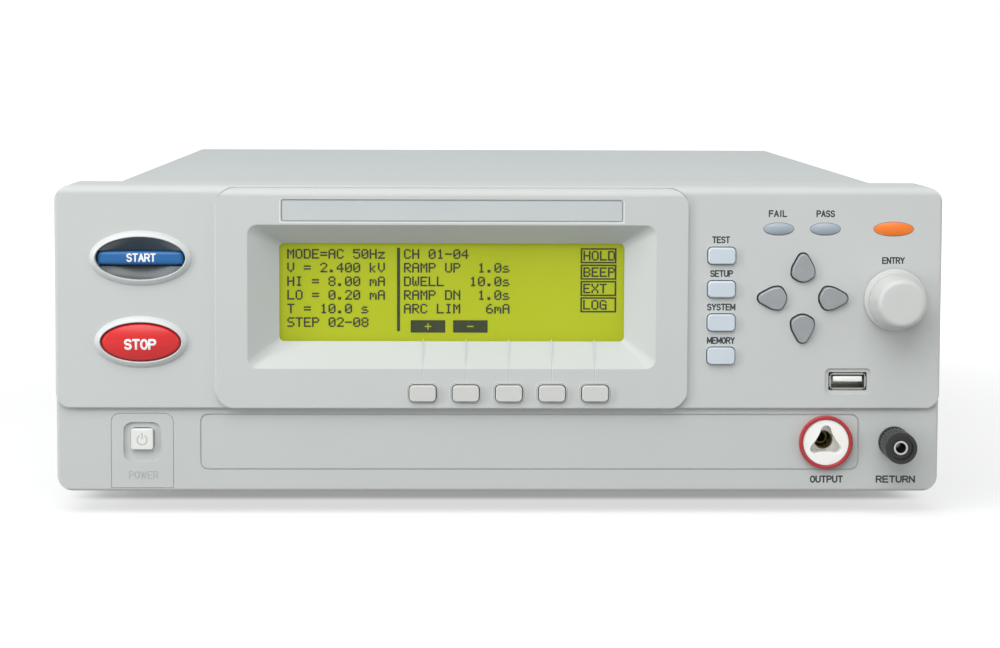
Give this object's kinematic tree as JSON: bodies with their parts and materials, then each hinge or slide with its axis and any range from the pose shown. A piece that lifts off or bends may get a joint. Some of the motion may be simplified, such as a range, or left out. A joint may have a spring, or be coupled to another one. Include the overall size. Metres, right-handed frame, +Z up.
{
  "type": "hipot tester",
  "caption": "Bench withstand-voltage (hipot) tester: wide front with graphic display, keys, rotary knob, start and stop buttons, shrouded output socket and return terminal on a steel case",
  "frame": {"origin": "on the surface that the feet stand on, under the middle of the whole outline from the knob's front to the end of the ground stud", "axes": "X to the viewer's right across the front, Y backwards from the front panel into the case, Z up"},
  "size_m": [0.34, 0.441, 0.127],
  "materials": {
    "panel_plastic": "fine-textured light grey moulding",
    "case_paint": "light grey textured paint on steel sheet",
    "zinc_steel": "zinc-plated steel sheet",
    "clear_window": "clear window over a yellow-green display",
    "display_glass": "yellow-green dot-matrix display",
    "bright_trim": "bright satin rim",
    "dark_dish": "dark slate bowl",
    "start_blue": "glossy blue",
    "stop_red": "glossy translucent red",
    "lamp_grey": "unlit frosted lamp lens",
    "lamp_orange": "orange lamp lens",
    "key_blue": "pale blue key",
    "key_white": "off-white display key",
    "key_grey": "metallic grey cursor key",
    "knob_plastic": "off-white knob",
    "steel": "bright steel",
    "black_plastic": "black moulding",
    "ring_red": "red collar",
    "insulator_white": "white insulator",
    "contact_brass": "plated brass",
    "rubber_foot": "dark rubber",
    "board_green": "green circuit board",
    "core_steel": "laminated core and varnished winding",
    "winding": "taped winding",
    "heatsink": "dark anodised aluminium",
    "lead_red": "insulated lead"
  },
  "bodies": {
    "chassis": {"front_bezel": "panel_plastic", "upper_fascia": "panel_plastic", "display_surround": "panel_plastic", "label_plate": "panel_plastic", "lcd_window": "clear_window", "lcd_module": "display_glass", "start_rim": "bright_trim", "start_dish": "dark_dish", "stop_rim": "bright_trim", "fail_lamp": "lamp_grey", "pass_lamp": "lamp_grey", "output_lamp": "lamp_orange", "encoder_housing": "steel", "usb_socket": "steel", "keypad_board": "board_green", "power_plate": "panel_plastic", "power_switch": "black_plastic", "output_ring": "ring_red", "output_insulator": "insulator_white", "output_contact": "contact_brass", "return_base": "black_plastic", "return_post": "steel", "base_tray": "zinc_steel", "top_cover": "case_paint", "rear_panel": "zinc_steel", "feet": "rubber_foot", "main_board": "board_green", "hv_transformer": "core_steel", "supply_transformer": "winding", "amplifier": "heatsink", "fan_frame": "black_plastic", "fan_guard": "steel", "mains_inlet": "black_plastic", "interface_ports": "steel", "ground_stud": "contact_brass", "internal_leads": "lead_red", "case_screws": "steel"},
    "start": {"start_button": "start_blue"},
    "stop": {"stop_button": "stop_red"},
    "softkey_1": {"softkey_1": "key_white"},
    "softkey_2": {"softkey_2": "key_white"},
    "softkey_3": {"softkey_3": "key_white"},
    "softkey_4": {"softkey_4": "key_white"},
    "softkey_5": {"softkey_5": "key_white"},
    "test": {"test_key": "key_blue"},
    "setup": {"setup_key": "key_blue"},
    "system": {"system_key": "key_blue"},
    "memory": {"memory_key": "key_blue"},
    "up": {"up_key": "key_grey"},
    "down": {"down_key": "key_grey"},
    "left": {"left_key": "key_grey"},
    "right": {"right_key": "key_grey"},
    "knob": {"entry_knob": "knob_plastic", "encoder_shaft": "steel"},
    "power": {"power_button": "key_white"},
    "washer": {"clamp_washer": "steel"},
    "cap": {"return_cap": "black_plastic"},
    "fan": {"fan_rotor": "black_plastic"},
    "drawer": {"fuse_drawer": "black_plastic"},
    "bail": {"tilt_bail": "steel"}
  },
  "joints": [
    {"name": "start_press", "type": "slide", "parent": "chassis", "child": "start", "axis": [0, 1, 0], "range_m": [0, 0.002], "stiffness_N_per_m": 600, "springref_m": -0.002},
    {"name": "stop_press", "type": "slide", "parent": "chassis", "child": "stop", "axis": [0, 1, 0], "range_m": [0, 0.002], "stiffness_N_per_m": 600, "springref_m": -0.002},
    {"name": "softkey_1_press", "type": "slide", "parent": "chassis", "child": "softkey_1", "axis": [0, 1, 0], "range_m": [0, 0.001], "stiffness_N_per_m": 700, "springref_m": -0.0012},
    {"name": "softkey_2_press", "type": "slide", "parent": "chassis", "child": "softkey_2", "axis": [0, 1, 0], "range_m": [0, 0.001], "stiffness_N_per_m": 700, "springref_m": -0.0012},
    {"name": "softkey_3_press", "type": "slide", "parent": "chassis", "child": "softkey_3", "axis": [0, 1, 0], "range_m": [0, 0.001], "stiffness_N_per_m": 700, "springref_m": -0.0012},
    {"name": "softkey_4_press", "type": "slide", "parent": "chassis", "child": "softkey_4", "axis": [0, 1, 0], "range_m": [0, 0.001], "stiffness_N_per_m": 700, "springref_m": -0.0012},
    {"name": "softkey_5_press", "type": "slide", "parent": "chassis", "child": "softkey_5", "axis": [0, 1, 0], "range_m": [0, 0.001], "stiffness_N_per_m": 700, "springref_m": -0.0012},
    {"name": "test_press", "type": "slide", "parent": "chassis", "child": "test", "axis": [0, 1, 0], "range_m": [0, 0.001], "stiffness_N_per_m": 700, "springref_m": -0.0012},
    {"name": "setup_press", "type": "slide", "parent": "chassis", "child": "setup", "axis": [0, 1, 0], "range_m": [0, 0.001], "stiffness_N_per_m": 700, "springref_m": -0.0012},
    {"name": "system_press", "type": "slide", "parent": "chassis", "child": "system", "axis": [0, 1, 0], "range_m": [0, 0.001], "stiffness_N_per_m": 700, "springref_m": -0.0012},
    {"name": "memory_press", "type": "slide", "parent": "chassis", "child": "memory", "axis": [0, 1, 0], "range_m": [0, 0.001], "stiffness_N_per_m": 700, "springref_m": -0.0012},
    {"name": "up_press", "type": "slide", "parent": "chassis", "child": "up", "axis": [0, 1, 0], "range_m": [0, 0.001], "stiffness_N_per_m": 700, "springref_m": -0.0012},
    {"name": "down_press", "type": "slide", "parent": "chassis", "child": "down", "axis": [0, 1, 0], "range_m": [0, 0.001], "stiffness_N_per_m": 700, "springref_m": -0.0012},
    {"name": "left_press", "type": "slide", "parent": "chassis", "child": "left", "axis": [0, 1, 0], "range_m": [0, 0.001], "stiffness_N_per_m": 700, "springref_m": -0.0012},
    {"name": "right_press", "type": "slide", "parent": "chassis", "child": "right", "axis": [0, 1, 0], "range_m": [0, 0.001], "stiffness_N_per_m": 700, "springref_m": -0.0012},
    {"name": "power_press", "type": "slide", "parent": "chassis", "child": "power", "axis": [0, 1, 0], "range_m": [0, 0.003], "stiffness_N_per_m": 900, "springref_m": -0.002},
    {"name": "knob_turn", "type": "hinge", "parent": "chassis", "child": "knob", "pos_m": [0.152, -0.2105, 0.0837], "axis": [0, -1, 0], "continuous": true},
    {"name": "washer_slide", "type": "slide", "parent": "chassis", "child": "washer", "axis": [0, -1, 0], "range_m": [0, 0.004]},
    {"name": "cap_turn", "type": "hinge", "parent": "washer", "child": "cap", "pos_m": [0.1529, -0.2105, 0.0282], "axis": [0, -1, 0], "range_deg": [0, 1800]},
    {"name": "fan_spin", "type": "hinge", "parent": "chassis", "child": "fan", "pos_m": [0.092, 0.1925, 0.069], "axis": [0, 1, 0], "continuous": true},
    {"name": "fuse_pull", "type": "slide", "parent": "chassis", "child": "drawer", "axis": [0, 1, 0], "range_m": [0, 0.016]},
    {"name": "bail_fold", "type": "hinge", "parent": "chassis", "child": "bail", "pos_m": [0, -0.1305, 0.0045], "axis": [1, 0, 0], "range_deg": [-100, 0]}
  ],
  "couplings": [
    {"joint": "cap_turn", "follows": "washer_slide", "rad_per_m": 7853.9}
  ]
}
